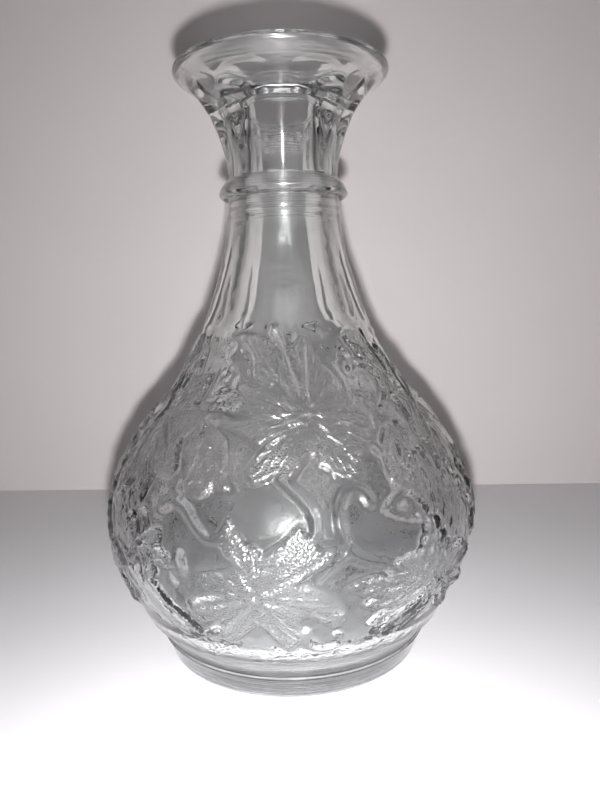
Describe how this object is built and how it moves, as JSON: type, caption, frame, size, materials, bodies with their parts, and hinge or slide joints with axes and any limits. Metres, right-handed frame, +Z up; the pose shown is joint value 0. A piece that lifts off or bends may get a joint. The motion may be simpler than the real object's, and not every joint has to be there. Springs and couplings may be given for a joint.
{
  "type": "wine decanter",
  "caption": "Clear moulded glass wine decanter with a footed round bowl, leaf relief, collar and fluted flared mouth.",
  "frame": {"origin": "centre of the foot's resting face", "axes": "+Z up along the vessel's axis, from the foot to the mouth; -Y is the front"},
  "size_m": [0.146, 0.1464, 0.222],
  "materials": {
    "clear_glass": "fire-polished"
  },
  "bodies": {
    "root": {"base_disc": "clear_glass", "foot_ring": "clear_glass", "belly": "clear_glass", "shoulder": "clear_glass", "neck": "clear_glass", "collar_ring": "clear_glass", "fluted_mouth": "clear_glass", "lip": "clear_glass", "front_leaf_relief": "clear_glass", "low_leaf_relief": "clear_glass", "side_leaf_relief": "clear_glass", "side_low_leaf_relief": "clear_glass", "vine_relief": "clear_glass", "berry_relief": "clear_glass"}
  },
  "joints": []
}
